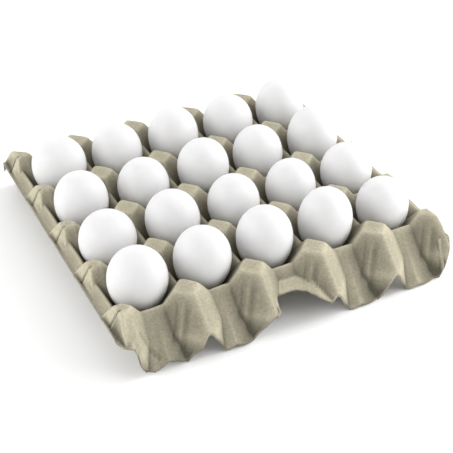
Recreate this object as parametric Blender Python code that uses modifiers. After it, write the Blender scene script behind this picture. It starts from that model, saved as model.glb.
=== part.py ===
"""A tray of moulded paper pulp, five cells long and four deep, with a hen's egg in every cell.

Metres, +Z up. The origin lies on the ground under the middle of the tray. X runs along a row of five
cells and Y runs from the front skirt to the back one.

The tray is one sheet of pulp. Its upper face is a height over the ground plan: the highest, at each
place, of the posts, the crests between them, the cups' floors and the ledges round the edge.
"""

import math
import random

import bpy
import bmesh
import numpy as np

# Cells and pulp
COLUMNS = 5
ROWS = 4
PITCH_X = 0.0567
PITCH_Y = 0.0584
WALL = 0.0022
MOST_DROP = 2.2

# Posts, each with a flat cap set cornerwise and four sloping faces
CAP_TOP = 0.0518
CAP_REACH = 0.0118
FACE_FALL = 1.25
FOOT_REACH = 0.0240
FOOT_FALL = 2.4
RIDGE_SLANT = 0.16
LEFT_SLANT = -0.13
RIGHT_SLANT = 0.29

# Side posts: narrower along their row than the rest, with one steep flank outwards
SIDE_CAP_DROP = 0.0008
FLANK_START = 0.0002
FLANK_SLANT = 0.15
FLANK_FALL = 2.8
NEAR_END = 0.0033
NEAR_FALL = 1.29
FAR_END = 0.0057
FAR_FALL = 1.45

# Crests that join the posts, and the cups between them
CREST_TOP = 0.0408
CREST_HALF = 0.0012
CUP_FALL = 2.0
DOME_RISE = 0.0035
DOME_REACH = 0.0050

# Skirts that slope down to the ground at the front and the back, unevenly trimmed
SKIRT = 0.0325
SKIRT_FALL = 1.13
SKIRT_CROWN = 15.0
TRIM_PLACES = (-0.125, -0.106, -0.097, -0.086, -0.078, -0.050, -0.038, -0.022, 0.118, 0.138)
TRIM_SHORT = (0.0045, 0.0062, 0.0036, 0.0008, 0.0030, 0.0018, 0.0026, 0.0, 0.0005, 0.0015)
LOBE_BEVEL = 0.0022
LOBE_BEVEL_OFF = 0.0095
LOBE_BEVEL_HALF = 0.0065

# Narrow ledges along the two sides, which run on round the corners
LEDGE = 0.0079
LEDGE_TOP = 0.0335
LEDGE_END = 0.0026
LEDGE_END_FALL = 8.0
CORNER_BLEND = 0.0150
CORNER_FLANK_START = -0.0025
CORNER_FLANK_FALL = 4.5
CORNER_FLANK_SLANT = -0.1
CORNER_RADIUS = 0.0130
CORNER_FOOT = 0.0200
CORNER_FOOT_FALL = 2.1

# Finger arch in the middle of each skirt, with a lip turned out round it
ARCH_MIDDLE = -0.0015
ARCH_LEFT = 0.0165
ARCH_RIGHT = 0.0195
ARCH_DEPTH = 0.0165
ARCH_FULL_LEFT = 3.0
ARCH_FULL_RIGHT = 2.0
LIP_TOP = 0.0290
LIP_RISE = 0.35
LIP_DROOP = 13.2
LIP_LEFT = -0.0190
LIP_RIGHT = 0.0330
LIP_END_FALL = 2.0

# How finely the tray is laid out
STEPS_PER_CELL = 10
SKIRT_STEPS = 5
SIDE_STEPS = (0.0025, 0.0060, LEDGE)
SLOPE_STEP = 0.0015
GRID_HALF = 0.5

# Eggs, front row first, blunt end up: width, length and how far each leans over to the right of its
# cell and to the front, in millimetres
EGG_SIZES = (
    ((48.0, 59.5, 0.3), (46.5, 61.0, -0.6), (46.5, 62.5, -0.7), (45.5, 65.5, -0.3), (44.5, 58.5, 0.3)),
    ((47.5, 55.5, -0.5), (46.0, 58.5, 0.8), (44.5, 57.5, 1.2), (44.0, 57.5, 0.6), (45.5, 58.0, 0.5)),
    ((46.0, 60.0, -0.8), (45.0, 57.5, 0.2), (46.0, 58.5, 1.4), (45.0, 60.0, -0.1), (46.0, 65.5, 0.2)),
    ((48.0, 58.0, 1.1), (45.5, 60.5, 0.0), (46.5, 61.5, -0.5), (46.5, 59.5, -0.5), (45.5, 63.0, -1.2)),
)
MM = 0.001
LEAN_RIGHT = 0.886
LEAN_FRONT = -0.464
EGG_TAPER = 0.10
EGG_TILT = math.radians(2.5)
EGG_SIDES = 12
EGG_RINGS = 8
POLE_MERGE = 0.00001
SEAT_GAP = 0.0009
SEAT_RINGS = 40
SEAT_SIDES = 72
SEED = 20

HALF_X = COLUMNS * PITCH_X / 2
HALF_Y = ROWS * PITCH_Y / 2


def clear_scene():
    """Remove every object that the file holds."""
    for thing in list(bpy.data.objects):
        bpy.data.objects.remove(thing, do_unlink=True)


def material(name, colour, roughness):
    """A plain, non-metallic Principled material."""
    made = bpy.data.materials.new(name)
    made.use_nodes = True
    shader = made.node_tree.nodes["Principled BSDF"]
    shader.inputs["Base Color"].default_value = (*colour, 1.0)
    shader.inputs["Roughness"].default_value = roughness
    shader.inputs["Metallic"].default_value = 0.0
    return made


def nearest_post(place, pitch, cells):
    """The coordinate of the nearest post along one axis."""
    index = np.clip(np.rint(place / pitch + cells / 2), 0, cells)
    return (index - cells / 2) * pitch


def seen_from_end(x, y):
    """X as it runs to the right for someone who faces the nearer skirt."""
    return np.where(y > 0, -x, x)


def arch_depth(u):
    """How far the finger arch cuts back into a skirt: squared off on its left, round on its right."""
    left = np.clip((ARCH_MIDDLE - u) / ARCH_LEFT, 0, 1)
    right = np.clip((u - ARCH_MIDDLE) / ARCH_RIGHT, 0, 1)
    full_left = (1 - left**ARCH_FULL_LEFT) ** (1 / ARCH_FULL_LEFT)
    full_right = (1 - right**ARCH_FULL_RIGHT) ** (1 / ARCH_FULL_RIGHT)
    return ARCH_DEPTH * np.minimum(full_left, full_right)


def skirt_reach(u):
    """How far out the skirt goes, less what the uneven trim, each lobe's bevel and the arch take."""
    past_bevel = u - nearest_post(u, PITCH_X, COLUMNS) + LOBE_BEVEL_OFF
    bevel = LOBE_BEVEL * np.exp(-((past_bevel / LOBE_BEVEL_HALF) ** 2))
    return SKIRT - np.interp(u, TRIM_PLACES, TRIM_SHORT) - bevel - arch_depth(u)


def ridge_line(u, out):
    """Where the nearest post's ridge runs: it slants as it goes out, outwards at the corners."""
    post = nearest_post(u, PITCH_X, COLUMNS)
    outer = np.where(post < 0, LEFT_SLANT, RIGHT_SLANT)
    return post + np.where(np.abs(post) > HALF_X - PITCH_X / 2, outer, RIDGE_SLANT) * out


def side_cut(x, y, out):
    """How far the side posts' own planes lie below their cap: the flank outwards, which slants along the
    row and changes as it goes round a corner, and the planes that narrow the post at both ends."""
    inward = HALF_X - np.abs(x)
    along = -np.sign(x) * (y - nearest_post(y, PITCH_Y, ROWS))
    share = np.clip(out / CORNER_BLEND, 0, 1)
    start = FLANK_START + (CORNER_FLANK_START - FLANK_START) * share
    fall = FLANK_FALL + (CORNER_FLANK_FALL - FLANK_FALL) * share
    slant = np.where(out > 0, CORNER_FLANK_SLANT * out, FLANK_SLANT * along)
    flank = fall * np.maximum(start - slant - inward, 0)
    near = NEAR_FALL * np.maximum(-along - NEAR_END, 0)
    far = FAR_FALL * np.maximum(along - FAR_END, 0)
    ends = np.where(out > 0, 0, np.maximum(near, far))
    return np.where(inward < PITCH_X / 2, np.maximum(flank, ends), 0)


def post_height(x, y, u, along_y, out):
    """Posts: a flat cap, four faces that fall evenly and steepen near the ground, cut down at the sides."""
    past_cap = np.maximum(np.abs(u - ridge_line(u, out)) + along_y - CAP_REACH, 0)
    past_face = np.maximum(past_cap - FOOT_REACH, 0)
    cap = CAP_TOP - SIDE_CAP_DROP * (np.abs(u) > HALF_X - PITCH_X / 2)
    face = cap - FACE_FALL * past_cap - (FOOT_FALL - FACE_FALL) * past_face
    return np.minimum(face, cap - side_cut(x, y, out))


def crest_height(along_x, along_y, out, side):
    """Crests: level between the posts, steep into the cups, gently down over the skirts and sides."""
    inner = CREST_TOP - CUP_FALL * np.maximum(np.minimum(along_x, along_y) - CREST_HALF, 0)
    off_middle = PITCH_X / 2 - along_x
    skirt = CREST_TOP - out * (SKIRT_FALL + SKIRT_CROWN * off_middle)
    flank = CREST_TOP - (CREST_TOP - LEDGE_TOP) * side / LEDGE
    return np.where(out > 0, np.where(side > 0, 0, skirt), np.where(side > 0, flank, inner))


def ledge_height(u, out, side):
    """Ledges: level along the sides and round the corners, down steeply to the corners' feet."""
    short = np.maximum(HALF_X - LEDGE_END - np.abs(u), 0)
    turned_down = CORNER_FOOT_FALL * np.maximum(out - CORNER_FOOT, 0) * (u > 0)
    reached = (out > 0) | (side > 0)
    return np.where(reached, LEDGE_TOP - LEDGE_END_FALL * short - turned_down, 0)


def lip_height(u, out):
    """The arch's lip: nearly level out from the wall, drooping away from its highest point."""
    level = LIP_TOP + LIP_RISE * (SKIRT - arch_depth(u) - out)
    droop = LIP_DROOP * (u - ARCH_MIDDLE) ** 2
    ends = LIP_END_FALL * np.maximum(np.maximum(LIP_LEFT - u, u - LIP_RIGHT), 0)
    return np.where((out > 0) & (np.abs(u) < PITCH_X), level - droop - ends, 0)


def floor_height(x, y):
    """Cups' floors, with a low cone pressed up in the middle of each cup."""
    from_middle_x = PITCH_X / 2 - np.abs(x - nearest_post(x, PITCH_X, COLUMNS))
    from_middle_y = PITCH_Y / 2 - np.abs(y - nearest_post(y, PITCH_Y, ROWS))
    radius = np.hypot(from_middle_x, from_middle_y)
    return WALL + DOME_RISE * np.maximum(1 - radius / DOME_REACH, 0)


def tray_height(x, y):
    """Height of the pulp's upper face over each place of the ground plan."""
    u = seen_from_end(x, y)
    along_x = np.abs(x - nearest_post(x, PITCH_X, COLUMNS))
    along_y = np.abs(y - nearest_post(y, PITCH_Y, ROWS))
    out = np.maximum(np.abs(y) - HALF_Y, 0)
    side = np.maximum(np.abs(x) - HALF_X, 0)
    parts = (
        post_height(x, y, u, along_y, out),
        crest_height(along_x, along_y, out, side),
        ledge_height(u, out, side),
        lip_height(u, out),
        floor_height(x, y),
    )
    return np.maximum.reduce(parts)


def wall_drop(x, y):
    """Upright thickness of the pulp: the wall over the slope's cosine, up to a limit."""
    rise_x = (tray_height(x + SLOPE_STEP, y) - tray_height(x - SLOPE_STEP, y)) / (2 * SLOPE_STEP)
    rise_y = (tray_height(x, y + SLOPE_STEP) - tray_height(x, y - SLOPE_STEP)) / (2 * SLOPE_STEP)
    return WALL * np.minimum(np.sqrt(1 + rise_x**2 + rise_y**2), MOST_DROP)


def stations(half, steps, beyond):
    """Grid lines along one axis: even steps between the outer posts, then those of the edge."""
    inner = np.linspace(-half, half, steps + 1)
    outer = half + np.array(beyond)
    return np.concatenate((-outer[::-1], inner, outer))


def round_corners(x, y):
    """Pull the plan's square corners in to quarter circles."""
    middle_x = HALF_X + LEDGE - CORNER_RADIUS
    middle_y = HALF_Y + SKIRT - CORNER_RADIUS
    a = np.maximum(np.abs(x) - middle_x, 0) / CORNER_RADIUS
    b = np.maximum(np.abs(y) - middle_y, 0) / CORNER_RADIUS
    moved_x = np.sign(x) * (middle_x + CORNER_RADIUS * a * np.sqrt(1 - b**2 / 2))
    moved_y = np.sign(y) * (middle_y + CORNER_RADIUS * b * np.sqrt(1 - a**2 / 2))
    return np.where(a > 0, moved_x, x), np.where(b > 0, moved_y, y)


def trim_skirts(x, y):
    """Draw the skirts' grid in to their trimmed edge, which has the finger arches in it."""
    out = np.maximum(np.abs(y) - HALF_Y, 0)
    kept = skirt_reach(seen_from_end(x, y)) / SKIRT
    return np.where(out > 0, np.sign(y) * (HALF_Y + out * kept), y)


def tray_sheet():
    """The upper face as a triangulated grid, its quads split along the level direction."""
    across = stations(HALF_X, COLUMNS * STEPS_PER_CELL, SIDE_STEPS)
    deep = stations(HALF_Y, ROWS * STEPS_PER_CELL, SKIRT * np.arange(1, SKIRT_STEPS + 1) / SKIRT_STEPS)
    sheet = bmesh.new()
    bmesh.ops.create_grid(sheet, x_segments=len(across) - 1, y_segments=len(deep) - 1, size=GRID_HALF)
    corners = np.array([vert.co for vert in sheet.verts])
    column = np.rint((corners[:, 0] + GRID_HALF) * (len(across) - 1)).astype(int)
    row = np.rint((corners[:, 1] + GRID_HALF) * (len(deep) - 1)).astype(int)
    x, y = round_corners(across[column], deep[row])
    y = trim_skirts(x, y)
    for vert, place in zip(sheet.verts, np.column_stack((x, y, tray_height(x, y)))):
        vert.co = place
    bmesh.ops.triangulate(sheet, faces=sheet.faces, quad_method="SHORT_EDGE")
    mesh = bpy.data.meshes.new("tray")
    sheet.to_mesh(mesh)
    sheet.free()
    return mesh


def make_tray(collection, finish):
    """Thicken the sheet, then let its under face follow the slopes down to flat feet."""
    tray = bpy.data.objects.new("tray", tray_sheet())
    collection.objects.link(tray)
    shell = tray.modifiers.new("pulp", "SOLIDIFY")
    shell.thickness = WALL
    shell.offset = -1
    upper = len(tray.data.vertices)
    solid = bpy.data.meshes.new_from_object(tray.evaluated_get(bpy.context.evaluated_depsgraph_get()))
    tray.modifiers.clear()
    tray.data = solid
    places = np.empty(len(solid.vertices) * 3)
    solid.vertices.foreach_get("co", places)
    places = places.reshape(-1, 3)
    top = places[:upper]
    under = np.maximum(top[:, 2] - wall_drop(top[:, 0], top[:, 1]), 0)
    places[upper:] = np.column_stack((top[:, 0], top[:, 1], under))
    solid.vertices.foreach_set("co", places.ravel())
    solid.update()
    solid.materials.append(finish)
    return tray


def egg_profile(width, length, turns):
    """Half outline of an egg from the blunt top down: an ellipse widened above its middle."""
    radius = width / 2 * np.sin(turns) * (1 + EGG_TAPER * np.cos(turns))
    return radius, length / 2 * np.cos(turns)


def seat_height(x, y, width, length):
    """Lowest middle at which the egg stays a hair clear of the pulp all round."""
    turns = np.linspace(math.pi / 2, math.pi, SEAT_RINGS)
    round_about = np.linspace(0, 2 * math.pi, SEAT_SIDES, endpoint=False)
    radius, level = egg_profile(width, length, turns)
    at_x = x + np.outer(radius, np.cos(round_about))
    at_y = y + np.outer(radius, np.sin(round_about))
    return float(np.max(tray_height(at_x, at_y) - level[:, None])) + SEAT_GAP


def make_egg(collection, finish, name, centre, size, draw):
    """Turn one egg's outline about its own axis and set it down in its cell, slightly tilted."""
    width = size[0] * MM
    length = size[1] * MM
    turns = np.linspace(0, math.pi, EGG_RINGS + 1)
    radius, level = egg_profile(width, length, turns)
    radius[-1] = 0.0
    mesh = bpy.data.meshes.new(name)
    points = [(r, 0.0, z) for r, z in zip(radius.tolist(), level.tolist())]
    mesh.from_pydata(points, [(i, i + 1) for i in range(EGG_RINGS)], [])
    mesh.materials.append(finish)
    egg = bpy.data.objects.new(name, mesh)
    collection.objects.link(egg)
    turned = egg.modifiers.new("turned", "SCREW")
    turned.axis = "Z"
    turned.steps = EGG_SIDES
    turned.render_steps = EGG_SIDES
    turned.use_merge_vertices = True
    turned.merge_threshold = POLE_MERGE
    egg.location = (*centre, seat_height(*centre, width, length))
    egg.rotation_euler = (draw.uniform(-1, 1) * EGG_TILT, draw.uniform(-1, 1) * EGG_TILT, 0)
    return egg


def make_eggs(collection, finish):
    """One egg for every cell, row by row from the front left."""
    draw = random.Random(SEED)
    for row, sizes in enumerate(EGG_SIZES):
        for column, size in enumerate(sizes):
            lean = size[2] * MM
            middle_x = (column - (COLUMNS - 1) / 2) * PITCH_X + LEAN_RIGHT * lean
            middle_y = (row - (ROWS - 1) / 2) * PITCH_Y + LEAN_FRONT * lean
            centre = (middle_x, middle_y)
            make_egg(collection, finish, f"egg_row{row + 1}_{column + 1}", centre, size, draw)


def main():
    clear_scene()
    collection = bpy.data.collections.new("egg_tray")
    bpy.context.scene.collection.children.link(collection)
    make_tray(collection, material("moulded_pulp", (0.50, 0.46, 0.36), 0.95))
    make_eggs(collection, material("eggshell", (0.88, 0.87, 0.85), 0.45))


main()
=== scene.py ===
"""A retail egg tray of moulded grey-brown paper pulp with twenty white hen's eggs standing in it.

Metres, +Z up. The tray is one wide sheet of pulp: its upper face is a height over the ground plan,
filleted wherever two slopes meet, and its under face follows it a wall's thickness lower. The eggs
are turned ovals, blunt end up, each a little uneven.
"""
import math
import random

import bpy
import numpy as np
from mathutils import Matrix, Vector


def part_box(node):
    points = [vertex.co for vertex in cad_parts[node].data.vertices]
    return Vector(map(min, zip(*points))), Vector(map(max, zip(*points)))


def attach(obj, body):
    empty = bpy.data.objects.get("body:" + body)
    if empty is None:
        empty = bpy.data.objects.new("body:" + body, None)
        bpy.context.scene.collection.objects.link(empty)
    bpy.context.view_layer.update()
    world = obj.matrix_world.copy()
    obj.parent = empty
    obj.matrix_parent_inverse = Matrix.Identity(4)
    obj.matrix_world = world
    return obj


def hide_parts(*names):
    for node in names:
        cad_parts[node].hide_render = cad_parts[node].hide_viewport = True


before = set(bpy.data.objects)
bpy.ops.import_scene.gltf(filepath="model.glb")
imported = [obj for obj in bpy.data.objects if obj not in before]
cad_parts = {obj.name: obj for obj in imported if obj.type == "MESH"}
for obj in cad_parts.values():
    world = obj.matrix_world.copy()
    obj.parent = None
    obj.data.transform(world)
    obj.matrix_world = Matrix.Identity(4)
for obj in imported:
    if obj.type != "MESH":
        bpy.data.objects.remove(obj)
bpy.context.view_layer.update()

# Cells and wall of the tray
COLUMNS = 5
ROWS = 4
PITCH_X = 0.0567
PITCH_Y = 0.0584
WALL = 0.0022
MOST_DROP = 2.2
HALF_X = COLUMNS * PITCH_X / 2
HALF_Y = ROWS * PITCH_Y / 2

# Posts: flat cap set cornerwise, four falling faces, rounded ridges
CAP_TOP = 0.0518
CAP_REACH = 0.0118
CAP_ROUND = 0.0016
FACE_FALL = 1.25
FOOT_REACH = 0.0240
FOOT_FALL = 2.4
RIDGE_ROUND = 0.0014
RIDGE_SLANT = 0.16
LEFT_SLANT = -0.13
RIGHT_SLANT = 0.29

# Side posts: narrower along their row than the rest, with one steep flank outwards
SIDE_CAP_DROP = 0.0008
FLANK_START = 0.0002
FLANK_SLANT = 0.11
FLANK_FALL = 2.8
NEAR_END = 0.0033
NEAR_FALL = 1.29
FAR_END = 0.0057
FAR_FALL = 1.6

# Crests between posts, cups and the cone in each cup's floor
CREST_TOP = 0.0408
CREST_HALF = 0.0012
CUP_FALL = 2.0
DOME_RISE = 0.0035
DOME_REACH = 0.0050

# Skirts at the front and the back: their fall, and how they are trimmed along the edge and at the feet
SKIRT = 0.0325
SKIRT_FALL = 1.13
SKIRT_CROWN = 15.0
TRIM_PLACES = (-0.125, -0.106, -0.097, -0.086, -0.078, -0.050, -0.038, -0.022, 0.118, 0.138)
TRIM_SHORT = (0.0045, 0.0062, 0.0036, 0.0008, 0.0030, 0.0018, 0.0026, 0.0, 0.0005, 0.0015)
LOBE_BEVEL = 0.0022
LOBE_BEVEL_OFF = 0.0095
LOBE_BEVEL_HALF = 0.0065
FOOT_BEVEL = 0.0022
FOOT_BEVEL_OFF = 0.0160
CORNER_BEVEL_OFF = 0.0125
FOOT_BEVEL_HALF = 0.0028

# Ledges along the sides and round the corners
LEDGE = 0.0079
LEDGE_TOP = 0.0335
LEDGE_END = 0.0026
LEDGE_END_FALL = 8.0
CORNER_BLEND = 0.0150
CORNER_FLANK_START = -0.0025
CORNER_FLANK_FALL = 4.5
CORNER_FLANK_SLANT = -0.1
CORNER_RADIUS = 0.0130
CORNER_FOOT = 0.0200
CORNER_FOOT_FALL = 2.1

# Finger arches and their lips
ARCH_MIDDLE = -0.0015
ARCH_LEFT = 0.0165
ARCH_RIGHT = 0.0195
ARCH_DEPTH = 0.0165
ARCH_FULL_LEFT = 3.0
ARCH_FULL_RIGHT = 2.0
LIP_TOP = 0.0290
LIP_RISE = 0.35
LIP_DROOP = 12.4
LIP_LEFT = -0.0190
LIP_RIGHT = 0.0330
LIP_END_FALL = 2.0

# Fillets, as heights over which two slopes run into each other
VALLEY = 0.0012
EDGE = 0.0010
FOOT_ROUND = 0.0065

# Relief pressed into the skirts' post faces: a rib down the middle with a groove at each side
RIB_START = 0.0130
RIB_END = 0.0300
RIB_FADE = 0.0035
RIDGE_FADE = 0.0020
RIB_OFF = 0.0007
RIB_HALF = 0.0015
RIB_HIGH = 0.0007
RIGHT_GROOVE_OFF = 0.0043
RIGHT_GROOVE_HALF = 0.0026
RIGHT_GROOVE_DEEP = 0.0014
LEFT_GROOVE_OFF = -0.0037
LEFT_GROOVE_HALF = 0.0016
LEFT_GROOVE_DEEP = 0.0008

# Creases: a pleat and a tuck in each skirt's left corner; on each side post a fold down the flank with
# a notch at its foot; and a crease along the flanks' base
PLEAT_FROM = (0.0080, 0.0100)
PLEAT_TO = (0.0112, 0.0240)
PLEAT_HALF = 0.0022
PLEAT_HIGH = 0.0007
TUCK_FROM = (0.0125, 0.0135)
TUCK_TO = (0.0218, 0.0228)
TUCK_HALF = 0.0018
TUCK_DEEP = 0.0014
FOLD_FROM = (0.0012, -0.0015)
FOLD_TO = (-0.0054, 0.0025)
FOLD_HALF = 0.0009
FOLD_DEEP = 0.0016
NOTCH_HALF = 0.0012
NOTCH_DEEP = 0.0014
BASE_LINE = 0.0063
BASE_HALF = 0.0008
BASE_DEEP = 0.0009
BASE_LENGTH = 0.0150

# Unevenness of the hand-smoothed mould: height, mesh size and seed of each net of random knots, and
# the heights of the pulp between which it sets in
UNEVENNESS = ((0.00035, 0.013, 3), (0.00015, 0.005, 4))
UNEVEN_FROM = 0.004
UNEVEN_TO = 0.012
KNOTS = 97

# How far apart heights are compared to find dips and ridges for the painted shade and highlight, and
# how much each comparison counts
PAINTED_SHADE_RINGS = ((0.0016, 0.55), (0.0060, 0.32))
RING_PLACES = 8
EVEN_GROUND = 0.5

# Painted highlight and painted shade in the pulp's colour, and how strong: highlight on the caps, side
# flanks, lips and right-hand skirt faces; shade on the left-hand skirt faces and in the creases
CAP_PAINTED_HIGHLIGHT = 0.20
CAP_HIGHLIGHT_FROM = 0.0020
CAP_HIGHLIGHT_FULL = 0.0005
FLANK_PAINTED_HIGHLIGHT = 0.60
FLANK_HIGHLIGHT_HALF = 0.0170
FLANK_FOOT = 0.0365
SHOULDER_FADE = 0.0010
LIP_PAINTED_HIGHLIGHT = 0.9
LIP_HIGHLIGHT_BELOW = 0.0015
RIGHT_FACE_PAINTED_HIGHLIGHT = 0.28
LEFT_FACE_PAINTED_SHADE = 0.15
FACE_PAINTED_LIGHT_FADE = 0.0040
FOLD_PAINTED_SHADE = 0.75
NOTCH_PAINTED_SHADE = 0.6

# How finely the sheet is laid out; the under face takes every second line
STEPS_PER_CELL = 48
SKIRT_STEPS = 44
SIDE_STEPS = 12
UNDER_EVERY = 2
SLOPE_STEP = 0.0010

# Eggs, front row first: width and length of each in millimetres
EGG_SIZES = (
    ((48.0, 59.5), (46.5, 61.0), (46.5, 62.5), (45.5, 65.5), (44.5, 58.5)),
    ((47.5, 55.5), (46.0, 58.5), (44.5, 57.5), (44.0, 57.5), (45.5, 58.0)),
    ((46.0, 60.0), (45.0, 57.5), (46.0, 58.5), (45.0, 60.0), (46.0, 65.5)),
    ((48.0, 58.0), (45.5, 60.5), (46.5, 61.5), (46.5, 59.5), (45.5, 63.0)),
)
MM = 0.001
EGG_TAPER = 0.10
EGG_TILT = math.radians(2.5)
EGG_SEED = 20
EGG_AROUND = 72
EGG_DOWN = 48
EGG_WAVER = 0.00012
WAVER_DRAWS = 6
WAVER_LOBES = 3
WAVER_TURN = 6.0

# Colours of the pulp, the eggshell and the floor
PULP_CLOUDS = ((0.345, 0.325, 0.241), (0.390, 0.355, 0.270))
PULP_FLECK = (0.290, 0.266, 0.195)
# Painted highlight on ridges and painted shade in creases, as factors on the pulp's colour
RIDGE_PAINTED_HIGHLIGHT = 1.38
CREASE_PAINTED_SHADE = 0.30
SHELL_CLOUDS = ((0.640, 0.639, 0.642), (0.660, 0.660, 0.665))
FLOOR_WHITE = (0.92, 0.92, 0.92, 1)

# Studio: floor, even white surroundings, and soft boxes with their places and powers
FLOOR_HALF = 6.0
SURROUNDINGS = 0.51
SOFTBOX_SIZE = 1.0
SOFTBOXES = (
    ("overhead", (0, 0, 1.6), 1.0),
    ("right", (1.5, 0, 0.8), 17.5),
    ("left", (-1.5, 0, 0.8), 16.0),
    ("back", (0, 1.5, 0.9), 6.5),
    ("right_front", (0.8, -0.55, 0.5), 8.5),
    ("left_front", (-1.1, -1.1, 0.8), 2.5),
    ("left_back", (-1.1, 1.1, 0.8), 4.5),
)

# The photograph's viewpoint
VIEW_PLACE = Vector((-0.3570, -0.7013, 0.5912))
VIEW_AIM = Vector((-0.0186, -0.0549, 0.0450))
VIEW_ROLL = math.radians(0.65)
VIEW_LENS = 87.4
VIEW_SENSOR = 36
VIEW_NEAREST = 0.05


def soft_max(a, b, blend):
    """Larger of two heights; where they are closer than blend, a quarter of blend times the square
    of their closeness is added, which fillets the corner."""
    close = np.clip(1 - np.abs(a - b) / blend, 0, 1)
    return np.maximum(a, b) + blend * close**2 / 4


def soft_min(a, b, blend):
    """Smaller of two heights, with the corner rounded off in the same way."""
    return -soft_max(-a, -b, blend)


def smooth_step(low, high, value):
    """0 below low, 1 above high, and three t squared less two t cubed between them."""
    t = np.clip((value - low) / (high - low), 0, 1)
    return t * t * (3 - 2 * t)


def bell(value, half):
    """The bell curve e to the minus of the square of value over half."""
    return np.exp(-((value / half) ** 2))


def wander(x, y, size, seed):
    """Smooth unevenness between -1 and 1: random numbers at the knots of a square net of that mesh
    size, joined by smooth steps along both axes."""
    knots = np.random.default_rng(seed).uniform(-1, 1, (KNOTS, KNOTS))
    across = x / size + KNOTS // 2
    deep = y / size + KNOTS // 2
    i = np.floor(across).astype(int)
    j = np.floor(deep).astype(int)
    s = smooth_step(0, 1, across - i)
    t = smooth_step(0, 1, deep - j)
    i = np.clip(i, 0, KNOTS - 2)
    j = np.clip(j, 0, KNOTS - 2)
    near = knots[i, j] * (1 - s) + knots[i + 1, j] * s
    far = knots[i, j + 1] * (1 - s) + knots[i + 1, j + 1] * s
    return near * (1 - t) + far * t


def nearest_post(place, pitch, cells):
    """The coordinate of the nearest post along one axis."""
    index = np.clip(np.rint(place / pitch + cells / 2), 0, cells)
    return (index - cells / 2) * pitch


def seen_from_end(x, y):
    """X as it runs to the right for someone who faces the nearer skirt."""
    return np.where(y > 0, -x, x)


def arch_depth(u):
    """How far the finger arch cuts back into a skirt: a quarter of a squared-off ellipse on its left
    and a quarter of an ellipse on its right."""
    left = np.clip((ARCH_MIDDLE - u) / ARCH_LEFT, 0, 1)
    right = np.clip((u - ARCH_MIDDLE) / ARCH_RIGHT, 0, 1)
    full_left = (1 - left**ARCH_FULL_LEFT) ** (1 / ARCH_FULL_LEFT)
    full_right = (1 - right**ARCH_FULL_RIGHT) ** (1 / ARCH_FULL_RIGHT)
    return ARCH_DEPTH * np.minimum(full_left, full_right)


def skirt_reach(u):
    """How far out the skirt is trimmed: the full skirt less what the uneven trim, the bell-shaped
    bevels at both ends of each lobe and the arch take."""
    past_post = u - nearest_post(u, PITCH_X, COLUMNS)
    in_corner = u < PITCH_X / 2 - HALF_X
    past_foot = past_post - np.where(in_corner, CORNER_BEVEL_OFF, FOOT_BEVEL_OFF)
    bevel = LOBE_BEVEL * bell(past_post + LOBE_BEVEL_OFF, LOBE_BEVEL_HALF)
    bevel = bevel + FOOT_BEVEL * bell(past_foot, FOOT_BEVEL_HALF)
    return SKIRT - np.interp(u, TRIM_PLACES, TRIM_SHORT) - bevel - arch_depth(u)


def ridge_line(u, out):
    """Where the nearest post's ridge runs: it slants as it goes out over the skirt."""
    post = nearest_post(u, PITCH_X, COLUMNS)
    outer = np.where(post < 0, LEFT_SLANT, RIGHT_SLANT)
    slant = np.where(np.abs(post) > HALF_X - PITCH_X / 2, outer, RIDGE_SLANT)
    return post + slant * out


def side_cut(x, y, out):
    """How far the side posts' own planes lie below their cap: the flank outwards, which slants along
    the row and changes as it goes round a corner, and the planes that narrow the post at its ends."""
    inward = HALF_X - np.abs(x)
    along = -np.sign(x) * (y - nearest_post(y, PITCH_Y, ROWS))
    share = np.clip(out / CORNER_BLEND, 0, 1)
    start = FLANK_START + (CORNER_FLANK_START - FLANK_START) * share
    fall = FLANK_FALL + (CORNER_FLANK_FALL - FLANK_FALL) * share
    slant = np.where(out > 0, CORNER_FLANK_SLANT * out, FLANK_SLANT * along)
    flank = fall * soft_max(start - slant - inward, 0, EDGE)
    near = NEAR_FALL * soft_max(-along - NEAR_END, 0, CAP_ROUND)
    far = FAR_FALL * soft_max(along - FAR_END, 0, CAP_ROUND)
    ends = np.where(out > 0, 0, np.maximum(near, far))
    return np.where(inward < PITCH_X / 2, np.maximum(flank, ends), 0)


def post_height(x, y, u, along_y, out):
    """Posts: the cap's height less the fall for each step past the cap's edge, where the distance is
    the sum of the rounded distances along both axes; steeper at the foot, cut down at the sides."""
    from_ridge = np.sqrt((u - ridge_line(u, out)) ** 2 + RIDGE_ROUND**2)
    from_row = np.sqrt(along_y**2 + RIDGE_ROUND**2)
    past_cap = soft_max(from_ridge + from_row - CAP_REACH, 0, CAP_ROUND)
    past_face = soft_max(past_cap - FOOT_REACH, 0, CAP_ROUND)
    cap = CAP_TOP - SIDE_CAP_DROP * (np.abs(u) > HALF_X - PITCH_X / 2)
    face = cap - FACE_FALL * past_cap - (FOOT_FALL - FACE_FALL) * past_face
    return soft_min(face, cap - side_cut(x, y, out), EDGE)


def crest_height(along_x, along_y, out, side):
    """Crests: level between the posts, steep into the cups, gently down over the skirts and sides."""
    inner = CREST_TOP - CUP_FALL * soft_max(np.minimum(along_x, along_y) - CREST_HALF, 0, EDGE)
    off_middle = PITCH_X / 2 - along_x
    skirt = CREST_TOP - out * (SKIRT_FALL + SKIRT_CROWN * off_middle)
    flank = CREST_TOP - (CREST_TOP - LEDGE_TOP) * side / LEDGE
    return np.where(out > 0, np.where(side > 0, 0, skirt), np.where(side > 0, flank, inner))


def ledge_height(u, out, side):
    """Ledges: level along the sides and round the corners, with a steep drop beside the first foot and
    a slope down to the last one."""
    short = np.maximum(HALF_X - LEDGE_END - np.abs(u), 0)
    turned_down = CORNER_FOOT_FALL * np.maximum(out - CORNER_FOOT, 0) * (u > 0)
    reached = (out > 0) | (side > 0)
    return np.where(reached, LEDGE_TOP - LEDGE_END_FALL * short - turned_down, 0)


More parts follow.
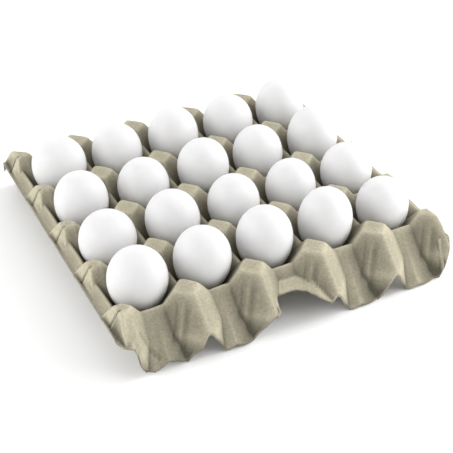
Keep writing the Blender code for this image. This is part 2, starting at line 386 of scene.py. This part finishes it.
def lip_height(u, out):
    """The arch's lip: nearly level out from the wall, drooping away from its highest point."""
    level = LIP_TOP + LIP_RISE * (SKIRT - arch_depth(u) - out)
    droop = LIP_DROOP * (u - ARCH_MIDDLE) ** 2
    ends = LIP_END_FALL * np.maximum(np.maximum(LIP_LEFT - u, u - LIP_RIGHT), 0)
    return np.where((out > 0) & (np.abs(u) < PITCH_X), level - droop - ends, 0)


def floor_height(x, y):
    """Cups' floors, with a low cone pressed up in the middle of each cup."""
    from_middle_x = PITCH_X / 2 - np.abs(x - nearest_post(x, PITCH_X, COLUMNS))
    from_middle_y = PITCH_Y / 2 - np.abs(y - nearest_post(y, PITCH_Y, ROWS))
    radius = np.hypot(from_middle_x, from_middle_y)
    return WALL + DOME_RISE * np.maximum(1 - radius / DOME_REACH, 0)


def line_bell(a, b, start, end, half):
    """Bell curve of the distance from the straight line between two places of the ground plan."""
    run_a = end[0] - start[0]
    run_b = end[1] - start[1]
    share = ((a - start[0]) * run_a + (b - start[1]) * run_b) / (run_a**2 + run_b**2)
    share = np.clip(share, 0, 1)
    return bell(np.hypot(a - start[0] - share * run_a, b - start[1] - share * run_b), half)


def skirt_relief(u, out):
    """Rib and grooves on each post's left face over the skirt: bell curves across the line that runs
    cornerwise down the face, faded in and out along it; and the pleat and tuck in the left corner."""
    left_of_ridge = ridge_line(u, out) - u
    down = (left_of_ridge + out) / math.sqrt(2)
    across = (out - left_of_ridge) / math.sqrt(2)
    shown = smooth_step(RIB_START - RIB_FADE, RIB_START + RIB_FADE, down)
    shown = shown * (1 - smooth_step(RIB_END - RIB_FADE, RIB_END + RIB_FADE, down))
    shown = shown * smooth_step(0, RIDGE_FADE, left_of_ridge)
    rib = RIB_HIGH * bell(across - RIB_OFF, RIB_HALF)
    right = RIGHT_GROOVE_DEEP * bell(across - RIGHT_GROOVE_OFF, RIGHT_GROOVE_HALF)
    left = LEFT_GROOVE_DEEP * bell(across - LEFT_GROOVE_OFF, LEFT_GROOVE_HALF)
    pleat = PLEAT_HIGH * line_bell(u + HALF_X, out, PLEAT_FROM, PLEAT_TO, PLEAT_HALF)
    tuck = TUCK_DEEP * line_bell(u + HALF_X, out, TUCK_FROM, TUCK_TO, TUCK_HALF)
    return np.where(out > 0, shown * (rib - right - left) + pleat - tuck, 0)


def side_folds(x, y):
    """Bell curves about the fold that runs down each side post's flank and about the notch at its
    foot, and the place along the row."""
    inward = HALF_X - np.abs(x)
    along = -np.sign(x) * (y - nearest_post(y, PITCH_Y, ROWS))
    fold = line_bell(inward, along, FOLD_FROM, FOLD_TO, FOLD_HALF)
    notch = bell(np.hypot(inward - FOLD_TO[0], along - FOLD_TO[1]), NOTCH_HALF)
    return fold, notch, along


def side_relief(x, y, out):
    """Fold and notch on each side post's flank, and the crease along the flanks' base."""
    outward = np.abs(x) - HALF_X
    fold, notch, along = side_folds(x, y)
    base = BASE_DEEP * bell(outward - BASE_LINE, BASE_HALF) * bell(along, BASE_LENGTH) * (out == 0)
    return -(FOLD_DEEP * fold + NOTCH_DEEP * notch + base)


def tray_height(x, y):
    """Height of the pulp's upper face: the softly joined highest of the parts, with the relief and the
    mould's unevenness added."""
    u = seen_from_end(x, y)
    along_x = np.abs(x - nearest_post(x, PITCH_X, COLUMNS))
    along_y = np.abs(y - nearest_post(y, PITCH_Y, ROWS))
    out = np.maximum(np.abs(y) - HALF_Y, 0)
    side = np.maximum(np.abs(x) - HALF_X, 0)
    posts = post_height(x, y, u, along_y, out)
    top = soft_max(posts, crest_height(along_x, along_y, out, side), VALLEY)
    top = soft_max(top, ledge_height(u, out, side), VALLEY)
    top = soft_max(top, lip_height(u, out), VALLEY)
    top = soft_max(top, floor_height(x, y), FOOT_ROUND)
    uneven = sum(height * wander(x, y, size, seed) for height, size, seed in UNEVENNESS)
    relief = skirt_relief(u, out) + side_relief(x, y, out)
    return top + relief + uneven * smooth_step(UNEVEN_FROM, UNEVEN_TO, top)


def face_painted_light(u, out):
    """Painted light on the skirts' faces: a sine wave across each lobe, above 0 (painted highlight) to
    the right of the ridge and below 0 (painted shade) to its left, faded in down the skirt and out
    over the finger arch."""
    wave = np.sin(2 * math.pi * (u - ridge_line(u, out)) / PITCH_X)
    strength = np.where(wave > 0, RIGHT_FACE_PAINTED_HIGHLIGHT, LEFT_FACE_PAINTED_SHADE)
    return strength * wave * smooth_step(0, FACE_PAINTED_LIGHT_FADE, out) * (1 - arch_depth(u) / ARCH_DEPTH)


def painted_highlight_and_shade(x, y, own):
    """Painted highlight, above 0: on the caps, on the side posts' flanks, on the arches' lips and to
    the right of the skirts' ridges; and, below 0, painted shade: to the left of those ridges and in
    the flanks' folds and notches."""
    u = seen_from_end(x, y)
    out = np.maximum(np.abs(y) - HALF_Y, 0)
    fold, notch, along = side_folds(x, y)
    cap = smooth_step(CAP_TOP - CAP_HIGHLIGHT_FROM, CAP_TOP - CAP_HIGHLIGHT_FULL, own)
    flank = smooth_step(-FLANK_START, SHOULDER_FADE, np.abs(x) - HALF_X)
    flank = flank * smooth_step(LEDGE_TOP, FLANK_FOOT, own) * bell(along, FLANK_HIGHLIGHT_HALF) ** 2
    lip = smooth_step(-LIP_HIGHLIGHT_BELOW, 0, lip_height(u, out) - own) * (out > 0)
    # Painted highlight on the caps, side flanks and lips, plus the skirt faces' painted light
    painted_light_sum = CAP_PAINTED_HIGHLIGHT * cap + FLANK_PAINTED_HIGHLIGHT * flank * (out == 0) + LIP_PAINTED_HIGHLIGHT * lip + face_painted_light(u, out)
    # Painted shade in the flanks' folds and notches
    return painted_light_sum - FOLD_PAINTED_SHADE * fold - NOTCH_PAINTED_SHADE * notch


def painted_shade_level(x, y):
    """Painted shade for each place, from 0 (full painted highlight) on sharp ridges over 0.5 on even
    ground to 1 (deepest painted shade) in deep creases: the mean height of a ring of places around
    less its own, by the ring's reach, near by and further off; less the painted highlight and shade of
    the caps, flanks, lips, skirt faces, folds and notches."""
    own = tray_height(x, y)
    total = np.full(x.shape, EVEN_GROUND)
    for reach, weight in PAINTED_SHADE_RINGS:
        ring = np.zeros(x.shape)
        for turn in np.arange(RING_PLACES) * 2 * math.pi / RING_PLACES:
            ring += tray_height(x + reach * math.cos(turn), y + reach * math.sin(turn)) / RING_PLACES
        total += weight * (ring - own) / reach
    return np.clip(total - painted_highlight_and_shade(x, y, own), 0, 1)


def wall_drop(x, y):
    """Upright thickness of the pulp: the wall over the slope's cosine, up to a limit."""
    rise_x = (tray_height(x + SLOPE_STEP, y) - tray_height(x - SLOPE_STEP, y)) / (2 * SLOPE_STEP)
    rise_y = (tray_height(x, y + SLOPE_STEP) - tray_height(x, y - SLOPE_STEP)) / (2 * SLOPE_STEP)
    return WALL * np.minimum(np.sqrt(1 + rise_x**2 + rise_y**2), MOST_DROP)


def stations(half, steps, edge, edge_steps):
    """Grid lines along one axis: even steps between the outer posts, then even steps over the edge."""
    inner = np.linspace(-half, half, steps + 1)
    outer = half + edge * np.arange(1, edge_steps + 1) / edge_steps
    return np.concatenate((-outer[::-1], inner, outer))


def round_corners(x, y):
    """Pull the plan's square corners in to quarter circles: a square is mapped on to a disc."""
    middle_x = HALF_X + LEDGE - CORNER_RADIUS
    middle_y = HALF_Y + SKIRT - CORNER_RADIUS
    a = np.maximum(np.abs(x) - middle_x, 0) / CORNER_RADIUS
    b = np.maximum(np.abs(y) - middle_y, 0) / CORNER_RADIUS
    moved_x = np.sign(x) * (middle_x + CORNER_RADIUS * a * np.sqrt(1 - b**2 / 2))
    moved_y = np.sign(y) * (middle_y + CORNER_RADIUS * b * np.sqrt(1 - a**2 / 2))
    return np.where(a > 0, moved_x, x), np.where(b > 0, moved_y, y)


def trim_skirts(x, y):
    """Draw the skirts' grid in to their trimmed edge, which has the finger arches in it."""
    out = np.maximum(np.abs(y) - HALF_Y, 0)
    kept = skirt_reach(seen_from_end(x, y)) / SKIRT
    return np.where(out > 0, np.sign(y) * (HALF_Y + out * kept), y)


def sheet_places(across, deep):
    """Plan of the sheet: the grid of stations with its corners rounded and its skirts trimmed."""
    x, y = np.meshgrid(across, deep)
    x, y = round_corners(x, y)
    return x, trim_skirts(x, y)


def grid_faces(rows, columns, first, flip):
    """Quads of a grid whose vertices are numbered row by row from first; flip turns them over."""
    i, j = np.meshgrid(np.arange(columns - 1), np.arange(rows - 1))
    corner = (first + j * columns + i).ravel()
    quads = np.column_stack((corner, corner + 1, corner + columns + 1, corner + columns))
    return quads[:, ::-1] if flip else quads


def edge_walk(rows, columns, first):
    """Numbers of a grid's edge vertices, anticlockwise from its first corner."""
    number = first + np.arange(rows * columns).reshape(rows, columns)
    return np.concatenate((number[0, :-1], number[:-1, -1], number[-1, :0:-1], number[:0:-1, 0]))


def rim_faces(upper, under, every):
    """Strip between the two sheets' edges: each edge of the under sheet meets as many edges of the
    upper one as the ratio says, so each step is one quad and the rest triangles."""
    coarse, coarse_next = under, np.roll(under, -1)
    fine = upper[::every]
    last_fine, fine_next = upper[every - 1::every], np.roll(fine, -1)
    faces = np.column_stack((coarse, coarse_next, fine_next, last_fine)).tolist()
    for back in range(1, every):
        faces += np.column_stack((coarse, upper[back::every], upper[back - 1::every])).tolist()
    return faces


def add_piece(name, places, faces, finish):
    """A shaded-smooth mesh object from its places and faces."""
    mesh = bpy.data.meshes.new(name)
    mesh.from_pydata(places.tolist(), [], faces)
    mesh.materials.append(finish)
    mesh.polygons.foreach_set("use_smooth", np.ones(len(mesh.polygons), dtype=bool))
    piece = bpy.data.objects.new(name, mesh)
    bpy.context.scene.collection.objects.link(piece)
    return piece


def make_tray(finish):
    """The tray's closed sheet: a fine upper face nowhere lower than half a wall, a coarser under face
    that stops at the floor, and the cut edge between them."""
    across = stations(HALF_X, COLUMNS * STEPS_PER_CELL, LEDGE, SIDE_STEPS)
    deep = stations(HALF_Y, ROWS * STEPS_PER_CELL, SKIRT, SKIRT_STEPS)
    x, y = sheet_places(across, deep)
    top = tray_height(x, y)
    under_x, under_y = x[::UNDER_EVERY, ::UNDER_EVERY], y[::UNDER_EVERY, ::UNDER_EVERY]
    drop = wall_drop(under_x, under_y)
    under = np.maximum(tray_height(under_x, under_y) - drop, 0)
    upper = np.column_stack((x.ravel(), y.ravel(), np.maximum(top, WALL / 2).ravel()))
    lower = np.column_stack((under_x.ravel(), under_y.ravel(), under.ravel()))
    faces = grid_faces(*x.shape, 0, False).tolist()
    faces += grid_faces(*under_x.shape, len(upper), True).tolist()
    upper_edge = edge_walk(*x.shape, 0)
    under_edge = edge_walk(*under_x.shape, len(upper))
    faces += rim_faces(upper_edge, under_edge, UNDER_EVERY)
    tray = add_piece("pulp_tray", np.vstack((upper, lower)), faces, finish)
    # Painted shade per vertex, 0 for full painted highlight to 1 for deepest painted shade; the under
    # face gets the even value
    painted_shade_values = np.concatenate((painted_shade_level(x, y).ravel(), np.full(len(lower), EVEN_GROUND)))
    tray.data.attributes.new("painted_shade", "FLOAT", "POINT").data.foreach_set("value", painted_shade_values)
    return tray


def egg_profile(width, length, turns):
    """Half outline of an egg from the blunt top down: the radius is half the width times the sine of
    the turn, widened above the middle by the taper; the height is half the length times its cosine."""
    radius = width / 2 * np.sin(turns) * (1 + EGG_TAPER * np.cos(turns))
    return radius, length / 2 * np.cos(turns)


def egg_waver(around, seed):
    """How an egg's outline bulges as it goes round: a sum of sine waves of one to three lobes with
    random strengths and starts."""
    draws = np.random.default_rng(seed).uniform(-1, 1, WAVER_DRAWS)
    starts = WAVER_TURN * draws[::-1]
    waves = range(WAVER_DRAWS - 1)
    return sum(draws[k] * np.sin((k % WAVER_LOBES + 1) * around + starts[k]) for k in waves)


def egg_places(size, seed):
    """Places of an upright egg: its outline turned about its axis, wavering, between two poles."""
    turns = np.linspace(0, math.pi, EGG_DOWN + 1)[1:-1]
    around = np.linspace(0, 2 * math.pi, EGG_AROUND, endpoint=False)
    radius, level = egg_profile(size[0] * MM, size[1] * MM, turns)
    reach = radius[:, None] + EGG_WAVER * egg_waver(around, seed) * np.sin(turns)[:, None]
    levels = np.repeat(level[:, None], EGG_AROUND, axis=1)
    rings = np.stack((reach * np.cos(around), reach * np.sin(around), levels), axis=-1)
    half = size[1] * MM / 2
    return np.vstack(([0, 0, half], rings.reshape(-1, 3), [0, 0, -half]))


def egg_faces():
    """Fans of triangles round the two poles and rings of quads between them."""
    here = 1 + np.arange(EGG_AROUND)
    after = np.roll(here, -1)
    below = (EGG_DOWN - 2) * EGG_AROUND
    last = np.full(EGG_AROUND, (EGG_DOWN - 1) * EGG_AROUND + 1)
    faces = np.column_stack((np.zeros_like(here), here, after)).tolist()
    faces += np.column_stack((last, after + below, here + below)).tolist()
    for start in range(0, below, EGG_AROUND):
        next_start = start + EGG_AROUND
        quads = np.column_stack((here + start, here + next_start, after + next_start, after + start))
        faces += quads.tolist()
    return faces


def make_egg(name, node, size, tilt, seed, finish):
    """One egg, tilted and set in the middle of its node's box."""
    turned = np.array(Matrix.Rotation(tilt[1], 3, "Y") @ Matrix.Rotation(tilt[0], 3, "X"))
    middle = np.array(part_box(node)).mean(axis=0)
    return add_piece(name, egg_places(size, seed) @ turned.T + middle, egg_faces(), finish)


def new_material(name):
    """An empty node material; returns it with its Principled shader."""
    made = bpy.data.materials.new(name)
    made.use_nodes = True
    return made, made.node_tree.nodes["Principled BSDF"]


def add_node(material, kind, settings=(), values=()):
    """A node with its settings and its input values."""
    node = material.node_tree.nodes.new(kind)
    for key, value in dict(settings).items():
        setattr(node, key, value)
    for key, value in dict(values).items():
        node.inputs[key].default_value = value
    return node


def join(material, source, target):
    """Wire one socket to another."""
    material.node_tree.links.new(source, target)


def noise(material, place, scale, detail, rough):
    """Fractal noise on the object's own coordinates."""
    values = {"Scale": scale, "Detail": detail, "Roughness": rough}
    node = add_node(material, "ShaderNodeTexNoise", values=values)
    join(material, place, node.inputs["Vector"])
    return node.outputs["Fac"]


def mix_colours(material, amount, first, second):
    """First colour where amount is 0 and second where it is 1."""
    node = add_node(material, "ShaderNodeMix", {"data_type": "RGBA"})
    join(material, amount, node.inputs["Factor"])
    for socket, colour in ((node.inputs["A"], first), (node.inputs["B"], second)):
        if isinstance(colour, tuple):
            socket.default_value = (*colour, 1)
        else:
            join(material, colour, socket)
    return node.outputs["Result"]


def stretch(material, value, low, high):
    """Value run from 0 at low to 1 at high."""
    node = add_node(material, "ShaderNodeMapRange", values={"From Min": low, "From Max": high})
    join(material, value, node.inputs["Value"])
    return node.outputs["Result"]


def pulp_finish():
    """Grey-beige recycled pulp: cloudy in large patches, flecked in small ones, with a felted grain;
    its colour is scaled up on ridges as a painted highlight and down in creases and dips as painted
    shade, as the tray's own attribute says."""
    pulp, shader = new_material("moulded_pulp")
    place = add_node(pulp, "ShaderNodeTexCoord").outputs["Object"]
    clouds = stretch(pulp, noise(pulp, place, scale=55, detail=4, rough=0.55), low=0.35, high=0.65)
    flecks = stretch(pulp, noise(pulp, place, scale=520, detail=4, rough=0.7), low=0.36, high=0.60)
    base = mix_colours(pulp, clouds, *PULP_CLOUDS)
    colour = mix_colours(pulp, flecks, PULP_FLECK, base)
    painted_shade = add_node(pulp, "ShaderNodeAttribute", {"attribute_name": "painted_shade"}).outputs["Fac"]
    # Painted light: the colour is scaled up on ridges as a painted highlight and down in creases as
    # painted shade
    painted_light_range = {"To Min": RIDGE_PAINTED_HIGHLIGHT, "To Max": CREASE_PAINTED_SHADE}
    painted_light_scale = add_node(pulp, "ShaderNodeMapRange", values=painted_light_range)
    join(pulp, painted_shade, painted_light_scale.inputs["Value"])
    shaded = add_node(pulp, "ShaderNodeVectorMath", {"operation": "SCALE"})
    join(pulp, colour, shaded.inputs[0])
    join(pulp, painted_light_scale.outputs["Result"], shaded.inputs["Scale"])
    join(pulp, shaded.outputs["Vector"], shader.inputs["Base Color"])
    shader.inputs["Roughness"].default_value = 0.95
    shader.inputs["Specular IOR Level"].default_value = 0.15
    grain = add_node(pulp, "ShaderNodeBump", values={"Strength": 0.35, "Distance": 0.0006})
    join(pulp, noise(pulp, place, scale=420, detail=6, rough=0.7), grain.inputs["Height"])
    join(pulp, grain.outputs["Normal"], shader.inputs["Normal"])
    return pulp


def eggshell_finish():
    """White eggshell: chalky and softly shining, with fine pores and a faint cloudiness; light
    spreads a little under its surface."""
    shell, shader = new_material("eggshell")
    place = add_node(shell, "ShaderNodeTexCoord").outputs["Object"]
    clouds = stretch(shell, noise(shell, place, scale=70, detail=3, rough=0.5), low=0.35, high=0.65)
    join(shell, mix_colours(shell, clouds, *SHELL_CLOUDS), shader.inputs["Base Color"])
    shader.inputs["Roughness"].default_value = 0.5
    shader.inputs["Specular IOR Level"].default_value = 0.3
    shader.inputs["Subsurface Weight"].default_value = 0.8
    shader.inputs["Subsurface Radius"].default_value = (1, 0.95, 0.9)
    shader.inputs["Subsurface Scale"].default_value = 0.02
    pores = add_node(shell, "ShaderNodeBump", values={"Strength": 0.12, "Distance": 0.0002})
    join(shell, noise(shell, place, scale=1500, detail=3, rough=0.6), pores.inputs["Height"])
    join(shell, pores.outputs["Normal"], shader.inputs["Normal"])
    return shell


def floor_finish():
    """Plain white studio floor."""
    made, shader = new_material("studio_floor")
    shader.inputs["Base Color"].default_value = FLOOR_WHITE
    shader.inputs["Roughness"].default_value = 0.9
    shader.inputs["Specular IOR Level"].default_value = 0.1
    return made


def make_floor():
    """A wide level floor under the tray."""
    corners = ((-1, -1, 0), (1, -1, 0), (1, 1, 0), (-1, 1, 0))
    places = FLOOR_HALF * np.array(corners)
    floor = add_piece("studio_floor", places, [(0, 1, 2, 3)], floor_finish())


def add_softbox(name, place, power):
    """A square area light that faces the middle of the floor."""
    lamp = bpy.data.lights.new(name, "AREA")
    lamp.size = SOFTBOX_SIZE
    lamp.energy = power
    box = bpy.data.objects.new(name, lamp)
    box.location = place
    box.rotation_euler = (-Vector(place)).to_track_quat("-Z", "Y").to_euler()
    bpy.context.scene.collection.objects.link(box)


def add_studio_light():
    """Even white surroundings and a ring of low soft boxes, strongest at the right and the left."""
    world = bpy.data.worlds.new("studio")
    world.use_nodes = True
    background = world.node_tree.nodes["Background"]
    background.inputs["Color"].default_value = (1, 1, 1, 1)
    background.inputs["Strength"].default_value = SURROUNDINGS
    bpy.context.scene.world = world
    for name, place, power in SOFTBOXES:
        add_softbox(name, place, power)


def add_camera():
    """The photograph's viewpoint, from the front left and above through a fairly long lens."""
    lens = bpy.data.cameras.new("viewpoint")
    lens.lens = VIEW_LENS
    lens.sensor_width = VIEW_SENSOR
    lens.clip_start = VIEW_NEAREST
    camera = bpy.data.objects.new("viewpoint", lens)
    look = (VIEW_AIM - VIEW_PLACE).to_track_quat("-Z", "Y").to_matrix()
    roll = Matrix.Rotation(VIEW_ROLL, 3, "Z")
    camera.matrix_world = Matrix.Translation(VIEW_PLACE) @ (look @ roll).to_4x4()
    bpy.context.scene.collection.objects.link(camera)
    bpy.context.scene.camera = camera


def make_eggs(finish):
    """One egg for every cell, row by row from the front left, tilted a little at random and set in its
    node's place.
    """
    draw = random.Random(EGG_SEED)
    for row, sizes in enumerate(EGG_SIZES):
        for column, size in enumerate(sizes):
            tilt = (draw.uniform(-1, 1) * EGG_TILT, draw.uniform(-1, 1) * EGG_TILT)
            node = f"egg_row{row + 1}_{column + 1}"
            egg = make_egg(f"hen_{node}", node, size, tilt, row * COLUMNS + column, finish)
            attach(egg, "root")
            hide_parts(node)


def main():
    """Dress the frame's nodes, then set up the studio."""
    tray = make_tray(pulp_finish())
    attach(tray, "root")
    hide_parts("tray")
    make_eggs(eggshell_finish())
    make_floor()
    add_studio_light()
    add_camera()
    bpy.context.scene.view_settings.view_transform = "Standard"


main()
